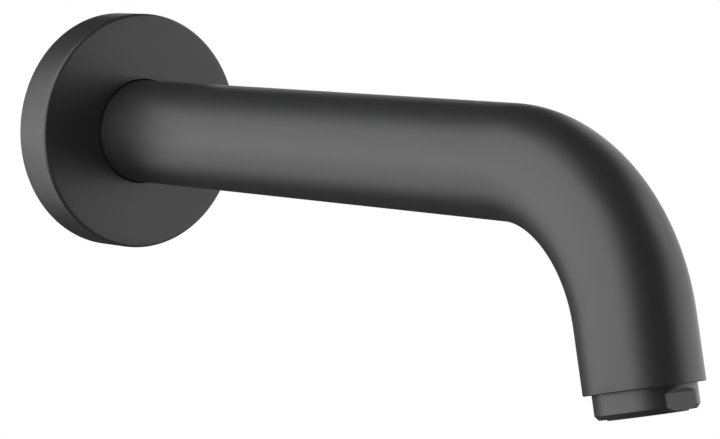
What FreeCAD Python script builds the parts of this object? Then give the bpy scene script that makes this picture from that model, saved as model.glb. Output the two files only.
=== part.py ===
"""Wall-mounted bath spout: a bent round tube on a flange, with an aerator in its outlet.

The wall is the plane y = 0, the spout points along -Y and +Z is up. The origin is on the wall,
on the axis of the supply thread. Lengths are in millimetres and angles in degrees.

Every piece is drawn in a frame of its own. Along the wall end its Y axis points away from the
wall and its Z axis down. In the outlet its Y axis follows the water.
"""
import FreeCAD, Part
import math
import os

import Sketcher
from FreeCAD import Placement, Rotation, Vector

# Driving dimensions
SIZES = {
    # Spout tube
    "tube_diameter": 28.0,
    "tube_wall": 1.5,
    "tube_back_gap": 0.5,
    "tube_edge_rounding": 0.3,
    "straight_run": 163.0,
    "bend_radius": 42.0,
    "bend_angle": 78.0,
    "outlet_drop": 15.5,
    # Wall flange
    "flange_diameter": 64.5,
    "flange_thickness": 12.0,
    "flange_face_thickness": 3.0,
    "flange_rim_wall": 2.75,
    "flange_lip_wall": 1.5,
    "flange_edge_chamfer": 0.5,
    "flange_inner_rounding": 1.0,
    "flange_hole_gap": 0.3,
    "flange_hub_wall": 2.5,
    "flange_hub_lip": 1.0,
    "flange_seal_thickness": 3.0,
    "flange_seal_width": 3.6,
    "flange_ring_section": 2.4,
    # Nipple on the supply
    "supply_thread_diameter": 26.44,
    "supply_thread_length": 15.0,
    "supply_thread_chamfer": 1.5,
    "supply_neck_depth": 1.2,
    "collar_step": 2.28,
    "collar_thickness": 3.0,
    "washer_thickness": 1.5,
    "spigot_length": 28.0,
    "spigot_chamfer": 0.8,
    "nipple_wall": 4.25,
    "nipple_key_step": 0.25,
    "nipple_key_depth": 10.0,
    # Water seals on the spigot
    "spigot_ring_section": 2.0,
    "spigot_ring_from_end": 3.0,
    "spigot_ring_pitch": 5.0,
    # Socket brazed into the tube, and the screw that holds it on the spigot
    "socket_wall": 2.35,
    "socket_length": 30.0,
    "socket_mouth_chamfer": 0.6,
    "screw_diameter": 5.0,
    "screw_point_diameter": 1.0,
    "screw_groove_depth": 1.0,
    "screw_ahead_of_flange": 7.0,
    "screw_recess": 0.4,
    "screw_key_width": 2.5,
    "screw_key_depth": 2.2,
    # Ring brazed into the outlet
    "outlet_ring_length": 12.0,
    "outlet_ring_recess": 1.0,
    "outlet_seat_thickness": 1.5,
    "outlet_seat_width": 2.7,
    # Aerator housing
    "aerator_side_gap": 0.5,
    "aerator_thread_depth": 0.35,
    "aerator_stand_out": 5.8,
    "aerator_chamfer_height": 1.05,
    "aerator_chamfer_width": 0.85,
    "aerator_wall": 1.35,
    "aerator_lip_thickness": 1.5,
    "aerator_washer_thickness": 1.5,
    "aerator_washer_width": 3.0,
    "spanner_flat_depth": 1.0,
    "spanner_flat_start": 1.8,
    # Aerator cartridge
    "sleeve_wall": 1.2,
    "sleeve_rim_wall": 0.8,
    "sleeve_ledge_thickness": 0.5,
    "nose_step": 1.05,
    "nose_wall": 1.0,
    "nose_stand_out": 0.3,
    "strainer_rim_thickness": 1.0,
    "strainer_wall": 0.6,
    "strainer_height": 2.5,
    "strainer_brim_width": 1.8,
    "strainer_top_share": 0.6,
    "strainer_hole_diameter": 1.2,
    "strainer_top_circle_step": 2.0,
    "strainer_side_circle_step": 1.8,
    "diffuser_thickness": 1.8,
    "diffuser_hole_diameter": 1.0,
    "diffuser_outer_circle_step": 3.1,
    "diffuser_circle_pitch": 2.2,
    "chamber_throat_step": 1.7,
    "chamber_wall": 0.8,
    "air_window_width": 2.2,
    "air_window_height": 1.6,
    "air_window_drop": 1.2,
    "screen_thickness": 0.5,
    "screen_rim_width": 0.8,
    "screen_hole_width": 1.6,
    "screen_wire_width": 0.5,
    "spacer_height": 1.5,
    "spacer_wall": 1.0,
    "grid_rim_thickness": 1.1,
    "grid_recess": 0.9,
    "grid_edge_width": 0.5,
    "grid_cell_width": 1.8,
    "grid_wall": 0.4,
    # Clearances
    "slip_gap": 0.1,
    "braze_gap": 0.05,
    "thread_gap": 0.05,
    "seal_gap": 0.05,
    "groove_side_gap": 0.2,
}

# Counts
SPIGOT_RINGS = ("nipple_o_ring_front", "nipple_o_ring_rear")
SPANNER_FLATS = 2
STRAINER_TOP_HOLES = 8
STRAINER_SIDE_HOLES = 16
DIFFUSER_INNER_HOLES = 8
DIFFUSER_OUTER_HOLES = 16
AIR_WINDOWS = 6

# How far a cut reaches past the surface that it opens
CUT_OVER = 1.0
# How near two places are when they count as one
SAME_PLACE = 0.01
PARTS_FOLDER = "parts"
FULL_TURN = 360.0
HALF_TURN = 180.0
HEXAGON_CORNERS = 6


class Size:
    """A number worked out from the sheet, with the formula that keeps it current."""

    def __init__(self, value, formula):
        self.value = value
        self.formula = formula

    def joined(self, sign, other, value):
        return Size(value, f"({self.formula} {sign} {other.formula})")

    def __add__(self, other):
        other = as_size(other)
        return self.joined("+", other, self.value + other.value)

    def __sub__(self, other):
        other = as_size(other)
        return self.joined("-", other, self.value - other.value)

    def __mul__(self, other):
        other = as_size(other)
        return self.joined("*", other, self.value * other.value)

    def __truediv__(self, other):
        other = as_size(other)
        return self.joined("/", other, self.value / other.value)

    def __neg__(self):
        return ZERO - self


def as_size(number):
    """Lets a plain number stand in a formula."""
    if isinstance(number, Size):
        return number
    return Size(float(number), repr(float(number)))


def size(alias):
    """The driving dimension of that name."""
    return Size(SIZES[alias], f"Sizes.{alias}")


def sine(angle):
    return Size(math.sin(math.radians(angle.value)), f"sin({angle.formula})")


def cosine(angle):
    return Size(math.cos(math.radians(angle.value)), f"cos({angle.formula})")


ZERO = as_size(0.0)

# Radii that more than one piece shares
TUBE_OUTSIDE = size("tube_diameter") / 2
TUBE_INSIDE = TUBE_OUTSIDE - size("tube_wall")
SUPPLY_THREAD = size("supply_thread_diameter") / 2
COLLAR = SUPPLY_THREAD + size("collar_step")
SOCKET_OUTSIDE = TUBE_INSIDE - size("braze_gap")
SOCKET_BORE = SOCKET_OUTSIDE - size("socket_wall")
SPIGOT = SOCKET_BORE - size("slip_gap")
NIPPLE_BORE = SPIGOT - size("nipple_wall")
SCREW = size("screw_diameter") / 2
SCREW_HOLE = SCREW + size("thread_gap")
FLANGE = size("flange_diameter") / 2
FLANGE_GROOVE = TUBE_OUTSIDE + size("flange_ring_section") + size("seal_gap") * 2
FLANGE_LIP = FLANGE - size("flange_lip_wall")
FLANGE_GROOVE_WIDTH = size("flange_ring_section") + size("groove_side_gap") * 2
AERATOR = TUBE_INSIDE - size("aerator_side_gap")
AERATOR_THREAD = AERATOR - size("aerator_thread_depth")
OUTLET_THREAD = AERATOR_THREAD + size("thread_gap")
HOUSING_BORE = AERATOR_THREAD - size("aerator_wall")
NOSE = HOUSING_BORE - size("nose_step")
SLEEVE_OUTSIDE = HOUSING_BORE - size("slip_gap")
SLEEVE_RIM = SLEEVE_OUTSIDE - size("sleeve_rim_wall")
SLEEVE_BORE = SLEEVE_OUTSIDE - size("sleeve_wall")
PLATE = SLEEVE_RIM - size("slip_gap")
INSERT = SLEEVE_BORE - size("slip_gap")

# Distances from the wall
COLLAR_FRONT = size("washer_thickness") + size("collar_thickness")
TUBE_START = COLLAR_FRONT + size("tube_back_gap")
FLANGE_GROOVE_BACK = TUBE_START + size("flange_hub_lip")
SPIGOT_END = COLLAR_FRONT + size("spigot_length")
SCREW_PLACE = size("flange_thickness") + size("screw_ahead_of_flange")

# Heights above the tube's end, measured back along the outlet
RING_TOP = size("outlet_ring_recess") + size("outlet_ring_length")
WASHER_TOP = RING_TOP - size("outlet_seat_thickness")
HOUSING_TOP = WASHER_TOP - size("aerator_washer_thickness")

# Distances down from the housing's top
TUBE_END = HOUSING_TOP
HOUSING_END = TUBE_END + size("aerator_stand_out")
SLEEVE_STEP = HOUSING_END - size("aerator_lip_thickness")
SLEEVE_LEDGE = SLEEVE_STEP - size("sleeve_ledge_thickness")
NOSE_END = HOUSING_END + size("nose_stand_out")
CHAMBER_TOP = size("strainer_rim_thickness") + size("diffuser_thickness")
GRID_TOP = SLEEVE_LEDGE - size("grid_rim_thickness")
LOWER_SCREEN_TOP = GRID_TOP - size("screen_thickness")
SPACER_TOP = LOWER_SCREEN_TOP - size("spacer_height")
UPPER_SCREEN_TOP = SPACER_TOP - size("screen_thickness")
AIR_WINDOW_TOP = CHAMBER_TOP + size("air_window_drop")


def make_sheet(document):
    """Puts every driving dimension in a cell with its alias."""
    sheet = document.addObject("Spreadsheet::Sheet", "Sizes")
    for row, (alias, number) in enumerate(SIZES.items(), start=1):
        sheet.set(f"A{row}", f"{number:g}")
        sheet.setAlias(f"A{row}", alias)
    document.recompute()


def put(piece, forward, down, turn):
    """Places a piece by its distance from the wall, its depth below the axis and its tilt."""
    axis = Vector(1, 0, 0)
    piece.Placement = Placement(Vector(0, -forward.value, -down.value), Rotation(axis, turn.value))
    piece.setExpression("Placement.Base.y", (-forward).formula)
    piece.setExpression("Placement.Base.z", (-down).formula)
    piece.setExpression("Placement.Rotation.Angle", turn.formula)


def put_at_wall(piece, forward):
    """Y runs out from the wall and Z down."""
    put(piece, forward, ZERO, as_size(HALF_TURN))


def outlet_point(height):
    """Distance from the wall and depth of the centre line, that far above the tube's end."""
    angle = size("bend_angle")
    radius = size("bend_radius")
    last = size("outlet_drop") - height
    forward = size("straight_run") + radius * sine(angle) + last * cosine(angle)
    down = radius - radius * cosine(angle) + last * sine(angle)
    return forward, down


def put_in_outlet(piece, height):
    """Y follows the water, from a point that far above the tube's end."""
    forward, down = outlet_point(height)
    put(piece, forward, down, size("bend_angle") + HALF_TURN)


def new_body(document, label):
    body = document.addObject("PartDesign::Body", label)
    body.Label = label
    return body


def new_sketch(body, name, plane, offset=None):
    """An empty sketch on one of the body's own planes, or that far along its normal."""
    sketch = body.newObject("Sketcher::SketchObject", name)
    support = [feature for feature in body.Origin.OriginFeatures if feature.Role == plane][0]
    sketch.AttachmentSupport = [(support, "")]
    sketch.MapMode = "FlatFace"
    if offset is not None:
        sketch.AttachmentOffset = Placement(Vector(0, 0, offset.value), Rotation())
        sketch.setExpression("AttachmentOffset.Base.z", offset.formula)
    return sketch


def hold(sketch, kind, where, measure):
    """Adds one constraint and binds it to its formula."""
    number = sketch.addConstraint(Sketcher.Constraint(kind, *where, measure.value))
    sketch.setExpression(f"Constraints[{number}]", measure.formula)


def draw_outline(sketch, points):
    """A closed outline of straight lines whose corners are held at their two sizes."""
    first = sketch.GeometryCount
    count = len(points)
    for index, (across, along) in enumerate(points):
        next_across, next_along = points[(index + 1) % count]
        start = Vector(across.value, along.value, 0)
        end = Vector(next_across.value, next_along.value, 0)
        sketch.addGeometry(Part.LineSegment(start, end), False)
    for index in range(count):
        after = first + (index + 1) % count
        sketch.addConstraint(Sketcher.Constraint("Coincident", first + index, 2, after, 1))
    for index, (across, along) in enumerate(points):
        hold(sketch, "DistanceX", (-1, 1, first + index, 1), across)
        hold(sketch, "DistanceY", (-1, 1, first + index, 1), along)


def draw_circle(sketch, radius, along=ZERO):
    """A circle on the sketch's upright axis, that far along it."""
    centre = Vector(0, along.value, 0)
    number = sketch.addGeometry(Part.Circle(centre, Vector(0, 0, 1), radius.value), False)
    hold(sketch, "DistanceX", (-1, 1, number, 3), ZERO)
    hold(sketch, "DistanceY", (-1, 1, number, 3), along)
    hold(sketch, "Radius", (number,), radius)


def revolve(body, name, points):
    """Turns an outline of radii and distances about the body's Y axis."""
    sketch = new_sketch(body, f"{name}_outline", "XY_Plane")
    draw_outline(sketch, points)
    feature = body.newObject("PartDesign::Revolution", name)
    feature.Profile = sketch
    feature.ReferenceAxis = (sketch, ["V_Axis"])
    feature.Angle = FULL_TURN
    return feature


def groove(body, name, points):
    """Turns an outline about the body's Y axis and takes it away."""
    sketch = new_sketch(body, f"{name}_outline", "XY_Plane")
    draw_outline(sketch, points)
    feature = body.newObject("PartDesign::Groove", name)
    feature.Profile = sketch
    feature.ReferenceAxis = (sketch, ["V_Axis"])
    feature.Angle = FULL_TURN
    return feature


def pocket(body, name, sketch, length, along_normal):
    """Cuts a sketch into the body, to one side of its plane."""
    feature = body.newObject("PartDesign::Pocket", name)
    feature.Profile = sketch
    feature.Length = length.value
    feature.setExpression("Length", length.formula)
    feature.Reversed = along_normal
    return feature


def repeat_round(body, name, feature, count):
    """Repeats a cut about the body's Y axis."""
    pattern = body.newObject("PartDesign::PolarPattern", name)
    pattern.Originals = [feature]
    axis = [part for part in body.Origin.OriginFeatures if part.Role == "Y_Axis"][0]
    pattern.Axis = (axis, [""])
    pattern.Angle = FULL_TURN
    pattern.Occurrences = count
    body.Tip = pattern
    return pattern


def round_circles(body, name, base, centre, circle_radii, rounding):
    """Rounds the circular edges of a feature that lie round one point."""
    edges = [f"Edge{number}" for number, edge in enumerate(base.Shape.Edges, start=1)
             if any(is_circle_at(edge, centre, radius.value) for radius in circle_radii)]
    if len(edges) != len(circle_radii):
        raise RuntimeError(f"{name} found {len(edges)} edges")
    feature = body.newObject("PartDesign::Fillet", name)
    feature.Base = (base, edges)
    feature.Radius = rounding.value
    feature.setExpression("Radius", rounding.formula)


def is_circle_at(edge, centre, radius):
    """Whether an edge is a full circle of that radius round that point."""
    if not isinstance(edge.Curve, Part.Circle) or len(edge.Vertexes) > 1:
        return False
    off_centre = edge.Curve.Center.distanceToPoint(centre)
    return off_centre < SAME_PLACE and abs(edge.Curve.Radius - radius) < SAME_PLACE


def hexagon(width):
    """The six corners of a hexagon that measures width across its flats."""
    corner = width / 2 / cosine(as_size(FULL_TURN / HEXAGON_CORNERS / 2))
    turns = [as_size(FULL_TURN / HEXAGON_CORNERS * index) for index in range(HEXAGON_CORNERS)]
    return [(corner * cosine(turn), corner * sine(turn)) for turn in turns]


def ring(document, label, inside, outside, height):
    """A flat ring from y = 0 to its height."""
    body = new_body(document, label)
    corners = [(inside, ZERO), (outside, ZERO), (outside, height), (inside, height)]
    revolve(body, f"{label}_ring", corners)
    return body


def o_ring(document, label, centre_radius, section, forward):
    """A ring of round section about the spout's axis."""
    torus = document.addObject("Part::Torus", label)
    torus.Label = label
    torus.setExpression("Radius1", centre_radius.formula)
    torus.setExpression("Radius2", (section / 2).formula)
    put(torus, forward, ZERO, as_size(HALF_TURN / 2))
    return torus


# Wall end

def wall_flange(document):
    """Turned flange: hollow behind, with a hub that carries the ring round the tube."""
    body = new_body(document, "wall_flange")
    front = size("flange_thickness")
    plate_back = front - size("flange_face_thickness")
    hole = TUBE_OUTSIDE + size("flange_hole_gap")
    hub = FLANGE_GROOVE + size("flange_hub_wall")
    groove_front = FLANGE_GROOVE_BACK + FLANGE_GROOVE_WIDTH
    rim_inside = FLANGE - size("flange_rim_wall")
    chamfer = size("flange_edge_chamfer")
    step = size("flange_seal_thickness")
    turned = revolve(body, "flange_turned", [
        (hub, TUBE_START),
        (hub, plate_back),
        (rim_inside, plate_back),
        (rim_inside, step),
        (FLANGE_LIP, step),
        (FLANGE_LIP, ZERO),
        (FLANGE, ZERO),
        (FLANGE, front - chamfer),
        (FLANGE - chamfer, front),
        (hole, front),
        (hole, groove_front),
        (FLANGE_GROOVE, groove_front),
        (FLANGE_GROOVE, FLANGE_GROOVE_BACK),
        (hole, FLANGE_GROOVE_BACK),
        (hole, TUBE_START),
    ])
    document.recompute()
    corner = Vector(0, plate_back.value, 0)
    rounding = size("flange_inner_rounding")
    round_circles(body, "flange_rounded", turned, corner, (hub, rim_inside), rounding)
    put_at_wall(body, ZERO)
    return body


def flange_seal(document):
    """Soft flat ring in the step behind the flange's rim."""
    outside = FLANGE_LIP - size("slip_gap")
    inside = outside - size("flange_seal_width")
    body = ring(document, "flange_seal", inside, outside, size("flange_seal_thickness"))
    put_at_wall(body, ZERO)
    return body


def flange_o_ring(document):
    """Ring in the hub that holds the flange on the tube."""
    section = size("flange_ring_section")
    middle = FLANGE_GROOVE_BACK + FLANGE_GROOVE_WIDTH / 2
    centre_radius = TUBE_OUTSIDE + size("seal_gap") + section / 2
    return o_ring(document, "flange_o_ring", centre_radius, section, middle)


def wall_nipple(document):
    """Turned nipple: supply thread, collar, and the spigot that the spout slides on."""
    body = new_body(document, "wall_nipple")
    wall = size("supply_thread_length")
    neck = SUPPLY_THREAD - size("supply_neck_depth")
    collar_back = wall + size("washer_thickness")
    collar_front = wall + COLLAR_FRONT
    end = wall + SPIGOT_END
    lead = size("supply_thread_chamfer")
    chamfer = size("spigot_chamfer")
    revolve(body, "nipple_turned", [
        (NIPPLE_BORE, ZERO),
        (SUPPLY_THREAD - lead, ZERO),
        (SUPPLY_THREAD, lead),
        (SUPPLY_THREAD, wall),
        (neck, wall),
        (neck, collar_back),
        (COLLAR, collar_back),
        (COLLAR, collar_front),
        (SPIGOT, collar_front),
        (SPIGOT, end - chamfer),
        (SPIGOT - chamfer, end),
        (NIPPLE_BORE, end),
    ])
    section = size("spigot_ring_section")
    bottom = SOCKET_BORE - section - size("seal_gap") * 2
    half_width = section / 2 + size("groove_side_gap")
    over = SPIGOT + CUT_OVER
    for index, label in enumerate(SPIGOT_RINGS):
        middle = wall + spigot_ring_place(index)
        groove(body, f"{label}_groove", [
            (bottom, middle - half_width),
            (over, middle - half_width),
            (over, middle + half_width),
            (bottom, middle + half_width),
        ])
    depth = size("screw_groove_depth")
    place = wall + SCREW_PLACE
    groove(body, "screw_groove", [
        (SPIGOT - depth, place),
        (over, place - depth - CUT_OVER),
        (over, place + depth + CUT_OVER),
    ])
    key = new_sketch(body, "key_outline", "XZ_Plane", -end)
    draw_outline(key, hexagon((NIPPLE_BORE + size("nipple_key_step")) * 2))
    pocket(body, "key_socket", key, size("nipple_key_depth"), True)
    put_at_wall(body, -wall)
    return body


def spigot_ring_place(index):
    """Distance from the wall to a seal on the spigot, counted from the spigot's end."""
    return SPIGOT_END - size("spigot_ring_from_end") - size("spigot_ring_pitch") * index


def nipple_washer(document):
    """Flat washer between the collar and the supply fitting."""
    inside = SUPPLY_THREAD + size("slip_gap")
    outside = COLLAR - size("slip_gap")
    body = ring(document, "nipple_washer", inside, outside, size("washer_thickness"))
    put_at_wall(body, ZERO)
    return body


def spigot_o_rings(document):
    """The water seals between spigot and socket."""
    section = size("spigot_ring_section")
    centre_radius = SOCKET_BORE - size("seal_gap") - section / 2
    return [o_ring(document, label, centre_radius, section, spigot_ring_place(index))
            for index, label in enumerate(SPIGOT_RINGS)]


def inlet_socket(document):
    """Bush in the tube's wall end, tapped from below for the screw."""
    body = new_body(document, "inlet_socket")
    length = size("socket_length")
    mouth = size("socket_mouth_chamfer")
    revolve(body, "socket_turned", [
        (SOCKET_BORE + mouth, ZERO),
        (SOCKET_OUTSIDE, ZERO),
        (SOCKET_OUTSIDE, length),
        (SOCKET_BORE, length),
        (SOCKET_BORE, mouth),
    ])
    screw_hole(body)
    put_at_wall(body, TUBE_START)
    return body


def screw_hole(body):
    """A hole down through the lower wall of a piece that starts where the tube does."""
    sketch = new_sketch(body, "screw_hole_outline", "XY_Plane")
    draw_circle(sketch, SCREW_HOLE, SCREW_PLACE - TUBE_START)
    return pocket(body, "screw_hole", sketch, TUBE_OUTSIDE + CUT_OVER, True)


def grub_screw(document):
    """Screw with a hexagon socket whose point sits in the spigot's groove."""
    body = new_body(document, "grub_screw")
    point = size("screw_point_diameter") / 2
    tip = SPIGOT - size("screw_groove_depth") + point + size("seal_gap")
    length = TUBE_OUTSIDE - size("screw_recess") - tip
    revolve(body, "screw_turned", [
        (ZERO, ZERO),
        (point, ZERO),
        (SCREW, SCREW - point),
        (SCREW, length),
        (ZERO, length),
    ])
    key = new_sketch(body, "screw_key_outline", "XZ_Plane", -length)
    draw_outline(key, hexagon(size("screw_key_width")))
    pocket(body, "screw_key_socket", key, size("screw_key_depth"), True)
    put(body, SCREW_PLACE, tip, as_size(-HALF_TURN / 2))
    return body


# Spout

def spout_tube(document):
    """One tube drawn round its bend, with a hole below for the screw."""
    body = new_body(document, "spout_tube")
    path = new_sketch(body, "centre_line", "YZ_Plane")
    draw_centre_line(path)
    section = new_sketch(body, "tube_section", "XZ_Plane")
    draw_circle(section, TUBE_OUTSIDE)
    draw_circle(section, TUBE_INSIDE)
    pipe = body.newObject("PartDesign::AdditivePipe", "bent_tube")
    pipe.Profile = section
    pipe.Spine = (path, ["Edge1", "Edge2", "Edge3"])
    hole = screw_hole(body)
    document.recompute()
    forward, down = outlet_point(ZERO)
    end = Vector(0, (forward - TUBE_START).value, down.value)
    rounding = size("tube_edge_rounding")
    round_circles(body, "outlet_rounded", hole, end, (TUBE_OUTSIDE, TUBE_INSIDE), rounding)
    put_at_wall(body, TUBE_START)
    return body


def draw_centre_line(sketch):
    """A straight run, an arc and a straight drop, each tangent to the next."""
    run = size("straight_run") - TUBE_START
    radius = size("bend_radius")
    angle = size("bend_angle")
    drop = size("outlet_drop")
    bend_start = Vector(run.value, 0, 0)
    bend_end = Vector((run + radius * sine(angle)).value,
                      (radius - radius * cosine(angle)).value, 0)
    end = bend_end + Vector((drop * cosine(angle)).value, (drop * sine(angle)).value, 0)
    circle = Part.Circle(Vector(run.value, radius.value, 0), Vector(0, 0, 1), radius.value)
    quarter = math.pi / 2
    straight = sketch.addGeometry(Part.LineSegment(Vector(0, 0, 0), bend_start), False)
    bend = sketch.addGeometry(
        Part.ArcOfCircle(circle, -quarter, math.radians(angle.value) - quarter), False)
    last = sketch.addGeometry(Part.LineSegment(bend_end, end), False)
    sketch.addConstraint(Sketcher.Constraint("Coincident", straight, 1, -1, 1))
    sketch.addConstraint(Sketcher.Constraint("Horizontal", straight))
    sketch.addConstraint(Sketcher.Constraint("Tangent", straight, 2, bend, 1))
    sketch.addConstraint(Sketcher.Constraint("Tangent", bend, 2, last, 1))
    hold(sketch, "Distance", (straight,), run)
    hold(sketch, "Radius", (bend,), radius)
    hold(sketch, "Distance", (last,), drop)
    hold(sketch, "DistanceX", (last, 1, last, 2), drop * cosine(angle))


def outlet_ring(document):
    """Ring in the outlet with the aerator's thread, and a seat above it for the washer."""
    body = new_body(document, "outlet_ring")
    outside = TUBE_INSIDE - size("braze_gap")
    seat_bore = OUTLET_THREAD - size("outlet_seat_width")
    seat = size("outlet_seat_thickness")
    length = size("outlet_ring_length")
    revolve(body, "outlet_ring_turned", [
        (seat_bore, ZERO),
        (outside, ZERO),
        (outside, length),
        (OUTLET_THREAD, length),
        (OUTLET_THREAD, seat),
        (seat_bore, seat),
    ])
    put_in_outlet(body, RING_TOP)
    return body


# Aerator

def aerator_washer(document):
    """Flat seal between the ring's seat and the top of the housing."""
    outside = OUTLET_THREAD - size("slip_gap")
    inside = outside - size("aerator_washer_width")
    body = ring(document, "aerator_washer", inside, outside, size("aerator_washer_thickness"))
    put_in_outlet(body, WASHER_TOP)
    return body


def aerator_housing(document):
    """Screwed housing with two spanner flats that run out at 45 degrees."""
    body = new_body(document, "aerator_housing")
    collar_top = HOUSING_TOP - size("outlet_ring_recess")
    chamfer_top = HOUSING_END - size("aerator_chamfer_height")
    face = AERATOR - size("aerator_chamfer_width")
    opening = NOSE + size("slip_gap")
    revolve(body, "housing_turned", [
        (HOUSING_BORE, ZERO),
        (AERATOR_THREAD, ZERO),
        (AERATOR_THREAD, collar_top),
        (AERATOR, collar_top),
        (AERATOR, chamfer_top),
        (face, HOUSING_END),
        (opening, HOUSING_END),
        (opening, SLEEVE_STEP),
        (HOUSING_BORE, SLEEVE_STEP),
    ])
    flat = AERATOR - size("spanner_flat_depth")
    flat_top = TUBE_END + size("spanner_flat_start")
    beyond = HOUSING_END + CUT_OVER
    over = AERATOR + CUT_OVER
    side = new_sketch(body, "spanner_flat_outline", "YZ_Plane")
    draw_outline(side, [
        (flat_top, flat),
        (beyond, flat),
        (beyond, over),
        (flat_top - (over - flat), over),
    ])
    cut = pocket(body, "spanner_flat", side, over * 2, False)
    cut.Midplane = True
    repeat_round(body, "spanner_flats", cut, SPANNER_FLATS)
    put_in_outlet(body, HOUSING_TOP)
    return body


def cartridge_sleeve(document):
    """Moulded sleeve with a rim above, air windows in its wall and a nose below."""
    body = new_body(document, "cartridge_sleeve")
    nose_inside = NOSE - size("nose_wall")
    revolve(body, "sleeve_moulded", [
        (SLEEVE_RIM, ZERO),
        (SLEEVE_OUTSIDE, ZERO),
        (SLEEVE_OUTSIDE, SLEEVE_STEP),
        (NOSE, SLEEVE_STEP),
        (NOSE, NOSE_END),
        (nose_inside, NOSE_END),
        (nose_inside, SLEEVE_LEDGE),
        (SLEEVE_BORE, SLEEVE_LEDGE),
        (SLEEVE_BORE, CHAMBER_TOP),
        (SLEEVE_RIM, CHAMBER_TOP),
    ])
    cut_air_windows(body, AIR_WINDOW_TOP)
    put_in_outlet(body, HOUSING_TOP)
    return body


def cut_air_windows(body, top):
    """Small windows round the wall of a piece of the cartridge."""
    half_width = size("air_window_width") / 2
    foot = top + size("air_window_height")
    sketch = new_sketch(body, "air_window_outline", "XY_Plane")
    draw_outline(sketch, [(-half_width, top), (half_width, top), (half_width, foot),
                          (-half_width, foot)])
    window = pocket(body, "air_window", sketch, SLEEVE_OUTSIDE + CUT_OVER, True)
    repeat_round(body, "air_windows", window, AIR_WINDOWS)


def strainer(document):
    """Dirt strainer: a drilled hat whose brim lies in the sleeve's rim."""
    body = new_body(document, "strainer")
    base = PLATE - size("strainer_brim_width")
    top = base * size("strainer_top_share")
    wall = size("strainer_wall")
    height = size("strainer_height")
    brim = height + size("strainer_rim_thickness")
    revolve(body, "strainer_moulded", [
        (ZERO, ZERO),
        (top, ZERO),
        (base, height),
        (PLATE, height),
        (PLATE, brim),
        (base - wall, brim),
        (base - wall, height),
        (top - wall, wall),
        (ZERO, wall),
    ])
    width = size("strainer_hole_diameter")
    top_circle = top - size("strainer_top_circle_step")
    side_circle = base - size("strainer_side_circle_step")
    drill_circle(body, "top_hole", top_circle, width, STRAINER_TOP_HOLES, brim)
    drill_circle(body, "side_hole", side_circle, width, STRAINER_SIDE_HOLES, brim)
    put_in_outlet(body, HOUSING_TOP + height)
    return body


def drill_circle(body, name, circle, hole_diameter, count, depth):
    """Holes along Y on a circle of that radius, from y = 0 to that depth."""
    sketch = new_sketch(body, f"{name}_outline", "XZ_Plane")
    draw_circle(sketch, hole_diameter / 2, circle)
    hole = pocket(body, name, sketch, depth, False)
    return repeat_round(body, f"{name}s", hole, count)


def diffuser_plate(document):
    """Drilled plate under the strainer, on the sleeve's upper ledge."""
    body = new_body(document, "diffuser_plate")
    thickness = size("diffuser_thickness")
    revolve(body, "plate_moulded", [
        (ZERO, ZERO),
        (PLATE, ZERO),
        (PLATE, thickness),
        (ZERO, thickness),
    ])
    width = size("diffuser_hole_diameter")
    outer = PLATE - size("diffuser_outer_circle_step")
    inner = outer - size("diffuser_circle_pitch")
    drill_circle(body, "inner_hole", inner, width, DIFFUSER_INNER_HOLES, thickness)
    drill_circle(body, "outer_hole", outer, width, DIFFUSER_OUTER_HOLES, thickness)
    put_in_outlet(body, HOUSING_TOP - size("strainer_rim_thickness"))
    return body


def mixing_chamber(document):
    """Tube that widens downwards, where the jets draw in air through the windows."""
    body = new_body(document, "mixing_chamber")
    height = UPPER_SCREEN_TOP - CHAMBER_TOP
    throat = INSERT - size("chamber_throat_step")
    revolve(body, "chamber_moulded", [
        (throat, ZERO),
        (INSERT, ZERO),
        (INSERT, height),
        (INSERT - size("chamber_wall"), height),
    ])
    cut_air_windows(body, size("air_window_drop"))
    put_in_outlet(body, HOUSING_TOP - CHAMBER_TOP)
    return body


def flow_screen(document, label, top):
    """Disc of crossed wires in a rim."""
    body = document.addObject("Part::Feature", label)
    body.Label = label
    thickness = size("screen_thickness").value
    hole = size("screen_hole_width").value
    pitch = hole + size("screen_wire_width").value
    reach = INSERT.value - size("screen_rim_width").value
    cell = square_cell(hole, thickness)
    steps = int(reach / pitch) + 1
    places = [(column * pitch, row * pitch)
              for column in range(-steps, steps + 1) for row in range(-steps, steps + 1)]
    inside = [place for place in places if math.hypot(*place) + hole / math.sqrt(2) < reach]
    disc = Part.makeCylinder(INSERT.value, thickness, Vector(0, 0, 0), Vector(0, 1, 0))
    body.Shape = cut_cells(disc, cell, inside)
    put_in_outlet(body, HOUSING_TOP - top)
    return body


def square_cell(width, depth):
    """A square hole along Y, centred on the axis and longer than the depth at both ends."""
    corner = Vector(-width / 2, -CUT_OVER, -width / 2)
    return Part.makeBox(width, depth + 2 * CUT_OVER, width, corner)


def hexagon_cell(width, depth):
    """A six-sided hole along Y, centred on the axis and longer than the depth at both ends."""
    corner = width / math.sqrt(3)
    turns = [2 * math.pi * index / HEXAGON_CORNERS for index in range(HEXAGON_CORNERS + 1)]
    points = [Vector(corner * math.sin(turn), -CUT_OVER, corner * math.cos(turn))
              for turn in turns]
    face = Part.Face(Part.makePolygon(points))
    return face.extrude(Vector(0, depth + 2 * CUT_OVER, 0))


def cut_cells(disc, cell, places):
    """Takes a copy of the cell out of the disc at each place across the axis."""
    cells = []
    for across, up in places:
        hole = cell.copy()
        hole.translate(Vector(across, 0, up))
        cells.append(hole)
    return disc.cut(Part.makeCompound(cells))


def screen_spacer(document):
    """Ring that keeps the two screens apart."""
    inside = INSERT - size("spacer_wall")
    body = ring(document, "screen_spacer", inside, INSERT, size("spacer_height"))
    put_in_outlet(body, HOUSING_TOP - SPACER_TOP)
    return body


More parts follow.
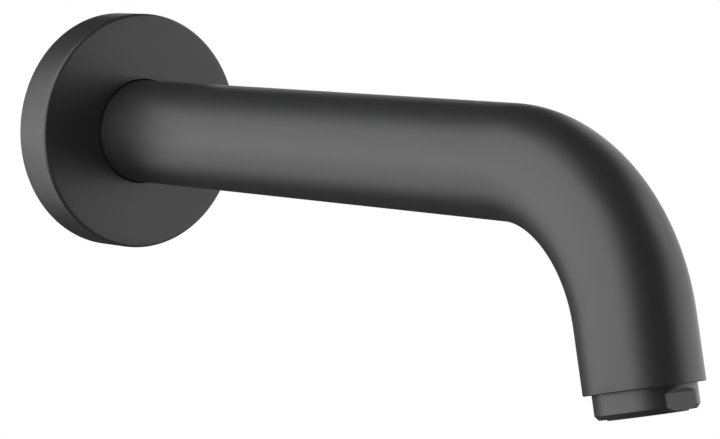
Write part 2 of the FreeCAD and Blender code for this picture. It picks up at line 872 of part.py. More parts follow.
def outlet_grid(document):
    """Honeycomb on the sleeve's lower ledge, with a rim above the ledge."""
    body = document.addObject("Part::Feature", "outlet_grid")
    body.Label = "outlet_grid"
    rim_thickness = size("grid_rim_thickness").value
    plug = (NOSE - size("nose_wall") - size("slip_gap")).value
    depth = (NOSE_END - size("grid_recess") - GRID_TOP).value
    along = Vector(0, 1, 0)
    rim = Part.makeCylinder(INSERT.value, rim_thickness, Vector(0, 0, 0), along)
    disc = rim.fuse(Part.makeCylinder(plug, depth, Vector(0, 0, 0), along)).removeSplitter()
    width = size("grid_cell_width").value
    pitch = width + size("grid_wall").value
    row_pitch = pitch * math.sqrt(3) / 2
    reach = plug - size("grid_edge_width").value
    steps = int(reach / row_pitch) + 1
    places = [((column + row % 2 / 2) * pitch, row * row_pitch)
              for row in range(-steps, steps + 1) for column in range(-steps - 1, steps + 1)]
    inside = [place for place in places if math.hypot(*place) + width / math.sqrt(3) < reach]
    body.Shape = cut_cells(disc, hexagon_cell(width, depth), inside)
    put_in_outlet(body, HOUSING_TOP - GRID_TOP)
    return body


def check(document, pieces):
    """Stops if any object failed or any piece has no sound solid."""
    for thing in document.Objects:
        if {"Invalid", "Error"} & set(thing.State):
            raise RuntimeError(f"{thing.Label} failed: {thing.State}")
    for piece in pieces:
        if piece.Shape.isNull() or not piece.Shape.isValid():
            raise RuntimeError(f"{piece.Label} has no sound shape")
        if len(piece.Shape.Solids) != 1:
            raise RuntimeError(f"{piece.Label} has {len(piece.Shape.Solids)} solids")


def main():
    document = FreeCAD.newDocument("bath_spout")
    make_sheet(document)
    pieces = [
        wall_flange(document),
        flange_seal(document),
        flange_o_ring(document),
        wall_nipple(document),
        nipple_washer(document),
        *spigot_o_rings(document),
        inlet_socket(document),
        grub_screw(document),
        spout_tube(document),
        outlet_ring(document),
        aerator_washer(document),
        aerator_housing(document),
        cartridge_sleeve(document),
        strainer(document),
        diffuser_plate(document),
        mixing_chamber(document),
        flow_screen(document, "upper_flow_screen", UPPER_SCREEN_TOP),
        screen_spacer(document),
        flow_screen(document, "lower_flow_screen", LOWER_SCREEN_TOP),
        outlet_grid(document),
    ]
    document.recompute()
    check(document, pieces)
    os.makedirs(PARTS_FOLDER, exist_ok=True)
    for piece in pieces:
        piece.Shape.exportStep(os.path.join(PARTS_FOLDER, f"{piece.Label}.step"))
        print(piece.Label, round(piece.Shape.Volume, 3), piece.Shape.BoundBox)


main()
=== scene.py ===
"""Bath spout on a pale floor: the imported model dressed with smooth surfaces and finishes.

Lengths are in metres. The wall is the plane y = 0, the spout points along -Y and +Z is up.
"""
import math

import bpy
import numpy as np
from bpy.props import FloatProperty, FloatVectorProperty, PointerProperty
from mathutils import Matrix, Vector


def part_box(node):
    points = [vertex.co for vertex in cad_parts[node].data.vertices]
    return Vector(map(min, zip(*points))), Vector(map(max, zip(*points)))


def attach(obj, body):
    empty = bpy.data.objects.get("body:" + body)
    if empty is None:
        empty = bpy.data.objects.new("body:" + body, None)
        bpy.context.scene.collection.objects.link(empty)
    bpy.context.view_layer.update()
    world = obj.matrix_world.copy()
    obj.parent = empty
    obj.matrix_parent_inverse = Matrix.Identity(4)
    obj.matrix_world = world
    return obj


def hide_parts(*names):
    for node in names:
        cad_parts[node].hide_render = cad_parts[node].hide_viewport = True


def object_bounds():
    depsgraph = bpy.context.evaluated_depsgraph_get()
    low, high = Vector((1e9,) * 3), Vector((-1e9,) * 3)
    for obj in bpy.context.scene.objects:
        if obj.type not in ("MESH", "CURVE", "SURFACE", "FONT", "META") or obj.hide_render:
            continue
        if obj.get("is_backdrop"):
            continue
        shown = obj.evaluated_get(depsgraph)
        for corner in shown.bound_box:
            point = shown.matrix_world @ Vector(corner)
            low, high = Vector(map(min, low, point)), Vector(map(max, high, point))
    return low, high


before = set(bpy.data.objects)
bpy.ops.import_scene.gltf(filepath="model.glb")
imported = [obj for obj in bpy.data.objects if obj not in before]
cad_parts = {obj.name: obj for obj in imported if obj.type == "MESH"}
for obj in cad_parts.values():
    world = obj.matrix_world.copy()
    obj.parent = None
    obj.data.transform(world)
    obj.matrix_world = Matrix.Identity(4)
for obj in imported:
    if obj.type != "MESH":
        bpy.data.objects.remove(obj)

bl_info = {
    "name": "Bath Spout",
    "version": (1, 0, 0),
    "blender": (4, 5, 0),
    "location": "3D Viewport > Sidebar > Bath Spout",
    "description": "Smooth surfaces, finishes and a plain studio for a wall-mounted bath spout",
    "category": "Object",
}

CAD_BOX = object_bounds()
FLANGE_LOW, FLANGE_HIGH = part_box("wall_flange")
BODY = "root"
MM = 0.001

# How many cells each surface has all round
TUBE_CELLS = 144
FLANGE_CELLS = 256
NIPPLE_CELLS = 240
AERATOR_CELLS = 480

# How long the tube's cells are, and the box of finer cells round the screw's hole
STRAIGHT_STEP = 4.0 * MM
BEND_STEP = 0.9 * MM
DROP_STEP = 3.0 * MM
HOLE_COLUMNS = 14
HOLE_ROWS = 12
HOLE_REACH = 4.5 * MM


def length(name, text, default, low=0.0):
    """A size of the spout that a user may change."""
    return FloatProperty(name=name, description=text, default=default, min=low,
                         unit="LENGTH", precision=5)


def fraction(name, text, default):
    """A number between nothing and the whole."""
    return FloatProperty(name=name, description=text, default=default, min=0.0, max=1.0)


def colour(name, text, default):
    """A colour of a finish or of the floor."""
    return FloatVectorProperty(name=name, description=text, default=default, subtype="COLOR",
                               size=3, min=0.0, max=1.0)


class SpoutSizes(bpy.types.PropertyGroup):
    """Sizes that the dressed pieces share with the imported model."""

    tube_radius: length("Tube radius", "Outside radius of the spout's tube", 14.0 * MM)
    tube_wall: length("Tube wall", "Thickness of the tube's wall", 1.5 * MM)
    tube_start: length("Tube start", "Gap between the wall and the tube", 5.0 * MM)
    straight_run: length("Straight run", "Distance from the wall to the bend", 163.0 * MM)
    bend_radius: length("Bend radius", "Radius of the bend's centre line", 42.0 * MM)
    bend_angle: FloatProperty(name="Bend angle", description="Angle that the tube is bent down by",
                              default=math.radians(78.0), subtype="ANGLE")
    outlet_drop: length("Outlet drop", "Straight length after the bend", 15.5 * MM)
    tube_edge: length("Tube edge", "Rounding of the outlet's edges", 0.3 * MM)
    screw_place: length("Screw place", "Distance from the wall to the fixing screw", 19.0 * MM)
    screw_hole: length("Screw hole", "Radius of the hole for the fixing screw", 2.55 * MM)
    flange_radius: length("Flange radius", "Outside radius of the wall flange", FLANGE_HIGH.x)
    flange_depth: length("Flange depth", "Thickness of the wall flange", -FLANGE_LOW.y)
    flange_edge: length("Flange edge", "Rounding of the flange's front edge", 0.85 * MM)
    soft_edge: length("Soft edge", "Rounding left on turned edges", 0.15 * MM)
    aerator_radius: length("Aerator radius", "Outside radius of the aerator", 12.0 * MM)
    aerator_drop: length("Aerator drop", "How far the aerator stands out of the tube", 5.8 * MM)
    flat_distance: length("Flat distance", "Distance from the axis to a spanner flat", 11.0 * MM)
    thread_pitch: length("Thread pitch", "Pitch of the supply thread", 1.814 * MM)
    thread_depth: length("Thread depth", "Depth of the supply thread", 1.162 * MM)


class FinishColours(bpy.types.PropertyGroup):
    """Colours of the finishes."""

    coating: colour("Coating", "Matte black coating", (0.014, 0.014, 0.0145))
    brass: colour("Brass", "Turned brass", (0.72, 0.55, 0.28))
    steel: colour("Steel", "Stainless steel", (0.55, 0.55, 0.54))
    rubber: colour("Rubber", "Seal rubber", (0.03, 0.03, 0.03))
    foam: colour("Foam", "Closed-cell foam", (0.05, 0.05, 0.05))
    fibre: colour("Fibre", "Pressed fibre", (0.42, 0.13, 0.07))
    black_plastic: colour("Black plastic", "Moulded black plastic", (0.03, 0.03, 0.032))
    white_plastic: colour("White plastic", "Moulded white plastic", (0.78, 0.78, 0.75))


class StudioSettings(bpy.types.PropertyGroup):
    """Floor, room and background."""

    floor_height: FloatProperty(name="Floor height", description="Height of the floor",
                                default=-2.2, unit="LENGTH")
    floor_reach: length("Floor reach", "Half the width of the floor", 88.0)
    floor_colour: colour("Floor", "Colour of the floor", (0.8, 0.8, 0.8))
    near: length("Near floor", "Distance up to which the floor shows its own colour", 7.0)
    far: length("Far floor", "Distance from which the floor is plain white", 11.5)
    mirror_near: length("Mirrored floor", "Distance up to which mirrors show the floor's colour",
                        13.0)
    mirror_far: length("Mirrored white", "Distance from which mirrors show plain white", 35.0)
    near_white: fraction("Near white",
                         "Share of plain white in the near floor as the camera sees it", 0.6)
    room: fraction("Room", "Brightness of the room", 0.05)


def quads(rows, columns, wrap_rows=True):
    """Corner numbers of the cells of a grid that closes all round, and lengthwise if told to."""
    down = np.arange(rows if wrap_rows else rows - 1)
    row, column = np.meshgrid(down, np.arange(columns), indexing="ij")
    next_row = (row + 1) % rows
    next_column = (column + 1) % columns
    corners = [row * columns + column, row * columns + next_column,
               next_row * columns + next_column, next_row * columns + column]
    return np.stack([corner.ravel() for corner in corners], axis=1)


def all_round(cells):
    """Evenly spread turns, in radians, from nothing up to a full turn, which is left out."""
    return np.linspace(0, 2 * np.pi, cells, endpoint=False)


def turned_over(points, faces):
    """The faces turned so that they point outwards, judged by the sign of the closed volume."""
    a, b, c, d = (points[faces[:, corner]] for corner in range(4))
    volume = (np.einsum("ij,ij->i", a, np.cross(b, c))
              + np.einsum("ij,ij->i", a, np.cross(c, d))).sum()
    return faces[:, ::-1] if volume < 0 else faces


def new_piece(name, points, faces, material, slot, *nodes, sharp=40.0):
    """A shaded piece with its place in its mesh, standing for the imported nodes.

    Edges between cells that meet at more than the sharp angle, in degrees, stay sharp.
    """
    mesh = bpy.data.meshes.new(name)
    mesh.from_pydata(points, [], turned_over(points, faces))
    mesh.shade_smooth()
    mesh.set_sharp_from_angle(angle=math.radians(sharp))
    mesh.materials.append(material)
    mesh.validate()
    piece = bpy.data.objects.new(name, mesh)
    bpy.context.scene.collection.objects.link(piece)
    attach(piece, BODY)
    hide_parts(*nodes)
    return piece


def softened(corners, rounding, steps=4):
    """A closed outline whose corners are rounded.

    Each corner gives way to an arc that touches both its sides. The arc's radius is the
    rounding, or less where it would take up more than 0.45 of the shorter side. Its points are
    centre + (sin((1 - s) a) start + sin(s a) end) / sin a, with s from 0 to 1 and a the turn.
    """
    here = np.asarray(corners, float)
    back = np.roll(here, 1, axis=0) - here
    ahead = np.roll(here, -1, axis=0) - here
    back_length = np.linalg.norm(back, axis=1)
    ahead_length = np.linalg.norm(ahead, axis=1)
    back = back / back_length[:, None]
    ahead = ahead / ahead_length[:, None]
    half = np.arccos(np.clip((back * ahead).sum(axis=1), -1, 1)) / 2
    room = 0.45 * np.minimum(back_length, ahead_length)
    cut = np.minimum(np.asarray(rounding) / np.tan(half), room)
    radius = cut * np.tan(half)
    bisector = back + ahead
    bisector = bisector / np.linalg.norm(bisector, axis=1)[:, None]
    centre = here + bisector * (radius / np.sin(half))[:, None]
    start = here + back * cut[:, None] - centre
    end = here + ahead * cut[:, None] - centre
    angle = (np.pi - 2 * half)[:, None, None]
    share = np.linspace(0, 1, steps + 1)[None, :, None]
    arcs = (np.sin((1 - share) * angle) * start[:, None] + np.sin(share * angle) * end[:, None])
    arcs = centre[:, None] + arcs / np.sin(angle)
    return arcs.reshape(-1, 2)


def divided(outline, spacing):
    """A closed outline with points added until none are further apart than the spacing."""
    ahead = np.roll(outline, -1, axis=0)
    counts = np.ceil(np.linalg.norm(ahead - outline, axis=1) / spacing).astype(int)
    counts = np.maximum(counts, 1)
    start = np.repeat(outline, counts, axis=0)
    end = np.repeat(ahead, counts, axis=0)
    first = np.repeat(np.cumsum(counts) - counts, counts)
    share = (np.arange(counts.sum()) - first) / np.repeat(counts, counts)
    return start + (end - start) * share[:, None]


def turned_about_wall_axis(radius, forward, turns):
    """Point (r cos v, -forward, r sin v) for each row's distance and each turn v."""
    across = radius * np.cos(turns)
    up = radius * np.sin(turns)
    along = np.broadcast_to(-forward, across.shape)
    return np.stack([across, along, up], axis=-1).reshape(-1, 3)


def centre_line(sizes, travel):
    """Place, direction and outer normal of the tube's centre line after that much travel.

    It is a straight run, then an arc of the bend's radius, then a straight drop, each tangent
    to the next.
    """
    run = sizes.straight_run - sizes.tube_start
    bend = sizes.bend_radius
    turn = np.clip((travel - run) / bend, 0, sizes.bend_angle)
    before = np.minimum(travel, run)
    after = np.maximum(travel - run - bend * sizes.bend_angle, 0)
    forward = sizes.tube_start + before + bend * np.sin(turn) + after * np.cos(turn)
    down = bend * (1 - np.cos(turn)) + after * np.sin(turn)
    none = np.zeros_like(travel)
    place = np.stack([none, -forward, -down], axis=-1)
    along = np.stack([none, -np.cos(turn), -np.sin(turn)], axis=-1)
    normal = np.stack([none, -np.sin(turn), np.cos(turn)], axis=-1)
    return place, along, normal


def tube_length(sizes):
    """Length of the centre line from the tube's start to its outlet."""
    run = sizes.straight_run - sizes.tube_start
    return run + sizes.bend_radius * sizes.bend_angle + sizes.outlet_drop


def tube_points(sizes, travel, radius, turns):
    """Point of the centre line plus r (cos v outer normal + sin v sideways)."""
    place, _, normal = centre_line(sizes, travel)
    sideways = np.array([1.0, 0.0, 0.0])
    spread = (np.cos(turns)[None, :, None] * normal[:, None]
              + np.sin(turns)[None, :, None] * sideways)
    return place[:, None] + radius[:, None, None] * spread


def stations(start, end, spacing):
    """Even steps from the start up to the end, which is left out, no wider than the spacing."""
    return np.linspace(start, end, math.ceil((end - start) / spacing), endpoint=False)


def between(values, border):
    """Whether each value lies between the border's first and last."""
    return (values > border[0]) & (values < border[-1])


def drilled_patch(sizes, along, around):
    """Surface through the tube's wall, from a box round the hole outside to the same box inside.

    The box's border follows those travels and turns. Each ring of points is a blend of the
    border and the hole's circle, and a point at x lies sqrt(R R - x x) below the tube's axis.
    Four more rings round off the hole's edges.
    """
    rows, columns = len(along) - 1, len(around) - 1
    border_travel = np.concatenate([np.full(columns, along[0]), along[:-1],
                                    np.full(columns, along[-1]), along[:0:-1]])
    border_turn = np.concatenate([around[:-1], np.full(rows, around[-1]), around[:0:-1],
                                  np.full(rows, around[0])])
    outside = sizes.tube_radius
    inside = outside - sizes.tube_wall
    screw = sizes.screw_place - sizes.tube_start
    bearing = np.arctan2(border_travel - screw, outside * np.sin(border_turn))
    hole, edge = sizes.screw_hole, sizes.soft_edge

    def ring_at(radius, share, circle, lower=0.0):
        across = (1 - share) * radius * np.sin(border_turn) + share * circle * np.cos(bearing)
        travel = (1 - share) * (border_travel - screw) + share * circle * np.sin(bearing)
        depth = np.sqrt(radius ** 2 - across ** 2) + lower
        return np.stack([across, -sizes.screw_place - travel, -depth], axis=-1)

    shares = (0.0, 0.35, 0.7, 1.0)
    middle = 0.3 * edge
    rings = [ring_at(outside, share, hole + edge) for share in shares]
    rings.append(ring_at(outside, 1.0, hole + middle, -middle))
    rings.append(ring_at(outside, 1.0, hole, -edge))
    rings.append(ring_at(inside, 1.0, hole, edge))
    rings.append(ring_at(inside, 1.0, hole + middle, middle))
    rings += [ring_at(inside, share, hole + edge) for share in reversed(shares)]
    return np.concatenate(rings), quads(len(rings), len(border_turn), wrap_rows=False)


def welded(points, faces):
    """Points that share a place become one, and those that no face uses go."""
    same_place = 0.0001 * MM
    keys = np.round(points / same_place).astype(np.int64)
    _, first, number = np.unique(keys, axis=0, return_index=True, return_inverse=True)
    faces = first[number.ravel()][faces]
    used, renumbered = np.unique(faces, return_inverse=True)
    return points[used], renumbered.reshape(faces.shape)


class BATHSPOUT_OT_tube(bpy.types.Operator):
    """Build the bent tube, hollow, with rounded outlet edges and the screw's hole below"""

    bl_idname = "bath_spout.tube"
    bl_label = "Tube"

    def execute(self, context):
        sizes = context.scene.spout_sizes
        outside = sizes.tube_radius
        inside = outside - sizes.tube_wall
        edge = sizes.tube_edge
        run = sizes.straight_run - sizes.tube_start
        bend_end = run + sizes.bend_radius * sizes.bend_angle
        end = tube_length(sizes)
        screw = sizes.screw_place - sizes.tube_start
        box = np.linspace(screw - HOLE_REACH, screw + HOLE_REACH, HOLE_ROWS + 1)
        along = np.concatenate([
            stations(0, box[0], STRAIGHT_STEP), box[:-1], stations(box[-1], run, STRAIGHT_STEP),
            stations(run, bend_end, BEND_STEP), stations(bend_end, end - edge, DROP_STEP),
            [end - edge],
        ])
        quarter = np.linspace(0, np.pi / 2, 6)[1:]
        rim_travel = end - edge + edge * np.sin(quarter)
        rim_outer = outside - edge + edge * np.cos(quarter)
        rim_inner = inside + edge - edge * np.cos(quarter)
        travel = np.concatenate([along, rim_travel, rim_travel[::-1], along[::-1]])
        radius = np.concatenate([np.full(len(along), outside), rim_outer,
                                 rim_inner[::-1], np.full(len(along), inside)])
        turns = all_round(TUBE_CELLS)
        points = tube_points(sizes, travel, radius, turns).reshape(-1, 3)
        faces = quads(len(travel), len(turns))

        first = (TUBE_CELLS - HOLE_COLUMNS) // 2
        around = turns[first:first + HOLE_COLUMNS + 1]
        cell_travel = (travel + np.roll(travel, -1)) / 2
        cell_turn = turns + turns[1] / 2
        drilled = np.outer(between(cell_travel, box), between(cell_turn, around))
        patch, patch_faces = drilled_patch(sizes, box, around)
        faces = np.concatenate([faces[~drilled.ravel()], patch_faces + len(points)])
        points, faces = welded(np.concatenate([points, patch]), faces)
        new_piece("spout_skin", points, faces, bpy.data.materials["black coating"],
                  "black_coating", "spout_tube")
        return {"FINISHED"}


class BATHSPOUT_OT_flange(bpy.types.Operator):
    """Turn the wall flange with its hollow back, its hub and soft edges"""

    bl_idname = "bath_spout.flange"
    bl_label = "Wall flange"

    def execute(self, context):
        sizes = context.scene.spout_sizes
        outside, front, back = sizes.flange_radius, sizes.flange_depth, sizes.tube_start
        hub, hole = sizes.tube_radius + 5.0 * MM, sizes.tube_radius + 0.3 * MM
        web, rim = front - 3.0 * MM, outside - 2.75 * MM
        step, step_front = outside - 1.5 * MM, 3.0 * MM
        groove, groove_front, groove_back = sizes.tube_radius + 2.5 * MM, 8.8 * MM, 6.0 * MM
        soft, hollow = sizes.soft_edge, 1.0 * MM
        corners = np.array([
            (hub, back, soft), (hub, web, hollow), (rim, web, hollow), (rim, step_front, soft),
            (step, step_front, soft), (step, 0.0, soft), (outside, 0.0, soft),
            (outside, front, sizes.flange_edge), (hole, front, soft), (hole, groove_front, soft),
            (groove, groove_front, soft), (groove, groove_back, soft), (hole, groove_back, soft),
            (hole, back, soft),
        ])
        outline = divided(softened(corners[:, :2], corners[:, 2], steps=8), 3.0 * MM)
        turns = all_round(FLANGE_CELLS)
        points = turned_about_wall_axis(outline[:, :1], outline[:, 1:], turns)
        faces = quads(len(outline), len(turns))
        new_piece("flange_skin", points, faces, bpy.data.materials["black coating"],
                  "black_coating", "wall_flange")
        return {"FINISHED"}


class BATHSPOUT_OT_nipple(bpy.types.Operator):
    """Turn the supply nipple with its thread, its seal grooves and its hexagon socket"""

    bl_idname = "bath_spout.nipple"
    bl_label = "Supply nipple"

    def execute(self, context):
        sizes = context.scene.spout_sizes
        bore, key, groove, waist = 5.75 * MM, 6.0 * MM, 8.0 * MM, 9.0 * MM
        spigot, neck, thread, collar = 10.0 * MM, 12.02 * MM, 13.22 * MM, 15.5 * MM
        behind, end = -15.0 * MM, 32.5 * MM
        lead_in, tip, key_depth = 1.5 * MM, 0.8 * MM, 10.0 * MM
        corners = [
            (bore, behind), (thread - lead_in, behind), (thread, behind + lead_in), (thread, 0.0),
            (neck, 0.0), (neck, 1.5 * MM), (collar, 1.5 * MM), (collar, 4.5 * MM),
            (spigot, 4.5 * MM), (spigot, 18.0 * MM), (waist, 19.0 * MM), (spigot, 20.0 * MM),
            (spigot, 23.3 * MM), (groove, 23.3 * MM), (groove, 25.7 * MM), (spigot, 25.7 * MM),
            (spigot, 28.3 * MM), (groove, 28.3 * MM), (groove, 30.7 * MM), (spigot, 30.7 * MM),
            (spigot, end - tip), (spigot - tip, end), (key, end), (key, end - key_depth),
            (bore, end - key_depth),
        ]
        outline = softened(corners, 0.12 * MM, steps=3)
        inner = bore + 1.0 * MM
        threaded = (outline[:, 1] < 0) & (outline[:, 0] > inner)
        outline = divided(outline, np.where(threaded, sizes.thread_pitch / 18, 2.0 * MM))
        turns = all_round(NIPPLE_CELLS)
        radius, forward = outline[:, :1], outline[:, 1:]
        cut = thread_cut(turns, forward, sizes.thread_pitch) * sizes.thread_depth
        threaded = (forward < 0) & (radius > inner)
        surface = np.where(threaded, np.minimum(radius, thread - cut), radius)
        socket = (forward > end - key_depth - 0.01 * MM) & (radius < key + 0.2 * MM)
        share = np.where(socket, np.clip((radius - bore) / (key - bore), 0, 1), 0)
        surface = surface + share * (hexagon_radius(turns, key) - key)
        points = turned_about_wall_axis(surface, forward, turns)
        faces = quads(len(outline), len(turns))
        new_piece("nipple_skin", points, faces, bpy.data.materials["turned brass"],
                  "turned_brass", "wall_nipple", sharp=80.0)
        return {"FINISHED"}


def thread_cut(turns, along, pitch):
    """Depth share of a helical thread: a triangle wave with rounded crests and roots.

    The wave's phase is the distance along over the pitch, less the share of a full turn.
    """
    round_off = 0.97
    phase = 2 * np.pi * along / pitch - turns
    return 0.5 - np.arcsin(round_off * np.cos(phase)) / (2 * math.asin(round_off))


def hexagon_radius(turns, half_width):
    """Half the width across flats over the cosine of the turn from the nearest flat's middle."""
    sixth = math.pi / 3
    return half_width / np.cos(np.mod(turns, sixth) - sixth / 2)


def rounded_least(first, second, blend):
    """The smaller of two radii: half of sum less root of squared difference and blend."""
    return 0.5 * (first + second - np.sqrt((first - second) ** 2 + blend ** 2))


class BATHSPOUT_OT_aerator(bpy.types.Operator):
    """Turn the aerator's housing and cut its two spanner flats, which run out at 45 degrees"""

    bl_idname = "bath_spout.aerator"
    bl_label = "Aerator housing"

    def execute(self, context):
        sizes = context.scene.spout_sizes
        wide, low = sizes.aerator_radius, sizes.aerator_drop
        bore, lip, thread = 10.3 * MM, 9.35 * MM, wide - 0.35 * MM
        top, shoulder, lip_top = -10.0 * MM, -1.0 * MM, low - 1.5 * MM
        corners = [
            (bore, top), (thread, top), (thread, shoulder), (wide, shoulder),
            (wide, low - 1.05 * MM), (wide - 0.85 * MM, low), (lip, low), (lip, lip_top),
            (bore, lip_top),
        ]
        outline = softened(corners, 0.12 * MM)
        high, inner = shoulder - 0.05 * MM, bore + 0.2 * MM
        outside = (outline[:, 1] > high) & (outline[:, 0] > inner)
        outline = divided(outline, np.where(outside, 0.12 * MM, 1.0 * MM))
        turns = all_round(AERATOR_CELLS)
        radius, down = outline[:, :1], outline[:, 1:]
        flat_top = 1.8 * MM
        reach = sizes.flat_distance + np.maximum(flat_top - down, 0)
        to_flat = reach / np.maximum(np.abs(np.sin(turns)), 1e-3)
        cut = rounded_least(radius, to_flat, 0.1 * MM)
        surface = np.where((down > high) & (radius > inner), cut, radius)
        place, along, normal = centre_line(sizes, np.array([tube_length(sizes)]))
        sideways = np.array([1.0, 0.0, 0.0])
        spread = np.cos(turns)[:, None] * sideways + np.sin(turns)[:, None] * normal
        points = place + down[:, :, None] * along + surface[:, :, None] * spread
        faces = quads(len(outline), len(turns))
        new_piece("aerator_skin", points.reshape(-1, 3), faces,
                  bpy.data.materials["black coating"], "black_coating", "aerator_housing")
        return {"FINISHED"}


def new_material(name, base, roughness, metallic=0.0):
    """A material's node tree and its shader, which has the plain values on its own sockets."""
    material = bpy.data.materials.new(name)
    material.use_nodes = True
    shader = material.node_tree.nodes["Principled BSDF"]
    shader.inputs["Base Color"].default_value = (*base, 1.0)
    shader.inputs["Roughness"].default_value = roughness
    shader.inputs["Metallic"].default_value = metallic
    return material.node_tree, shader


def add(tree, kind, **values):
    """A node with its properties and inputs set by name."""
    node = tree.nodes.new(kind)
    for key, value in values.items():
        label = key.replace("_", " ").title()
        if label in node.inputs:
            node.inputs[label].default_value = value
        else:
            setattr(node, key, value)
    return node


def pattern(tree, scale, detail=4.0, stretch=(1.0, 1.0, 1.0)):
    """Noise in the piece's own coordinates, with that many features to a metre."""
    place = add(tree, "ShaderNodeTexCoord")
    mapping = add(tree, "ShaderNodeMapping")
    mapping.inputs["Scale"].default_value = stretch
    noise = add(tree, "ShaderNodeTexNoise", scale=scale, detail=detail)
    tree.links.new(place.outputs["Object"], mapping.inputs["Vector"])
    tree.links.new(mapping.outputs["Vector"], noise.inputs["Vector"])
    return noise.outputs["Fac"]


def ranged(tree, value, low, high, from_low=0.3, from_high=0.7):
    """A value taken from its own range, which noise fills by default, to another one."""
    node = add(tree, "ShaderNodeMapRange")
    node.inputs["From Min"].default_value = from_low
    node.inputs["From Max"].default_value = from_high
    node.inputs["To Min"].default_value = low
    node.inputs["To Max"].default_value = high
    tree.links.new(value, node.inputs["Value"])
    return node.outputs["Result"]


def tinted(tree, shader, value, base, dark, light):
    """Base colour that runs from the dark to the light share of the base as the value grows."""
    mix = add(tree, "ShaderNodeMix", data_type="RGBA")
    low, high = [socket for socket in mix.inputs if socket.type == "RGBA"]
    low.default_value = (*[share * dark for share in base], 1.0)
    high.default_value = (*[min(share * light, 1.0) for share in base], 1.0)
    tree.links.new(value, mix.inputs["Factor"])
    result = [socket for socket in mix.outputs if socket.type == "RGBA"][0]
    tree.links.new(result, shader.inputs["Base Color"])


def bumped(tree, shader, layers):
    """Bump made of layers, each a height, a strength and a depth in metres."""
    previous = None
    for height, strength, depth in layers:
        bump = add(tree, "ShaderNodeBump", strength=strength, distance=depth)
        tree.links.new(height, bump.inputs["Height"])
        if previous:
            tree.links.new(previous, bump.inputs["Normal"])
        previous = bump.outputs["Normal"]
    tree.links.new(previous, shader.inputs["Normal"])


def coating_finish(base):
    """Matte black coating: an even, fine-grained film with a faint ripple under it."""
    tree, shader = new_material("black coating", base, 0.4)
    cloud = pattern(tree, 30.0, detail=3.0)
    grain = pattern(tree, 2600.0, detail=3.0)
    ripple = pattern(tree, 420.0, detail=2.0)
    tinted(tree, shader, ranged(tree, cloud, 0.0, 1.0), base, dark=0.93, light=1.07)
    tree.links.new(ranged(tree, grain, 0.38, 0.42), shader.inputs["Roughness"])
    bumped(tree, shader, [(ripple, 0.15, 0.00002), (grain, 0.12, 0.000008)])


def brass_finish(base):
    """Turned brass: fine rings round the axis, and a slight tarnish."""
    tree, shader = new_material("turned brass", base, 0.28, metallic=1.0)
    rings = pattern(tree, 60.0, detail=6.0, stretch=(1.0, 90.0, 1.0))
    tarnish = pattern(tree, 160.0)
    tinted(tree, shader, ranged(tree, tarnish, 0.0, 1.0), base, dark=0.86, light=1.04)
    tree.links.new(ranged(tree, tarnish, 0.36, 0.22), shader.inputs["Roughness"])
    bumped(tree, shader, [(rings, 0.25, 0.00001)])


def steel_finish(base):
    """Plain stainless steel with a drawn grain."""
    tree, shader = new_material("stainless steel", base, 0.3, metallic=1.0)
    grain = pattern(tree, 900.0, detail=5.0, stretch=(1.0, 1.0, 8.0))
    tinted(tree, shader, ranged(tree, grain, 0.0, 1.0), base, dark=0.96, light=1.03)
    tree.links.new(ranged(tree, grain, 0.27, 0.33), shader.inputs["Roughness"])
    bumped(tree, shader, [(grain, 0.12, 0.000002)])


def rubber_finish(base):
    """Moulded seal rubber with a dull bloom."""
    tree, shader = new_material("seal rubber", base, 0.62)
    bloom = pattern(tree, 220.0)
    grain = pattern(tree, 5200.0, detail=2.0)
    tinted(tree, shader, ranged(tree, bloom, 0.0, 1.0), base, dark=0.85, light=1.35)
    tree.links.new(ranged(tree, bloom, 0.55, 0.72), shader.inputs["Roughness"])
    bumped(tree, shader, [(grain, 0.3, 0.00001)])


def foam_finish(base):
    """Closed-cell foam: rounded cells under half a millimetre wide."""
    tree, shader = new_material("soft foam", base, 0.9)
    place = add(tree, "ShaderNodeTexCoord")
    cells = add(tree, "ShaderNodeTexVoronoi", scale=2400.0)
    tree.links.new(place.outputs["Object"], cells.inputs["Vector"])
    distance = cells.outputs["Distance"]
    near, far = 0.0, 0.7
    tinted(tree, shader, ranged(tree, distance, 0.0, 1.0, near, far), base, dark=1.15, light=0.7)
    tree.links.new(ranged(tree, distance, 0.84, 0.96, near, far), shader.inputs["Roughness"])
    bumped(tree, shader, [(distance, 0.5, 0.00005)])


def fibre_finish(base):
    """Pressed red fibre with short strands."""
    tree, shader = new_material("fibre washer", base, 0.8)
    strands = pattern(tree, 1500.0, detail=5.0, stretch=(1.0, 3.0, 4.0))
    tinted(tree, shader, ranged(tree, strands, 0.0, 1.0), base, dark=0.75, light=1.2)
    tree.links.new(ranged(tree, strands, 0.72, 0.9), shader.inputs["Roughness"])
    bumped(tree, shader, [(strands, 0.4, 0.00002)])


def plastic_finish(name, base, roughness, gloss=0.5):
    """Moulded plastic with a spark-eroded skin."""
    tree, shader = new_material(name, base, roughness)
    shader.inputs["Specular IOR Level"].default_value = gloss
    skin = pattern(tree, 3600.0, detail=3.0)
    cloud = pattern(tree, 140.0, detail=2.0)
    tinted(tree, shader, ranged(tree, cloud, 0.0, 1.0), base, dark=0.95, light=1.03)
    tree.links.new(ranged(tree, skin, roughness - 0.05, roughness + 0.07),
                   shader.inputs["Roughness"])
    bumped(tree, shader, [(skin, 0.25, 0.000008)])


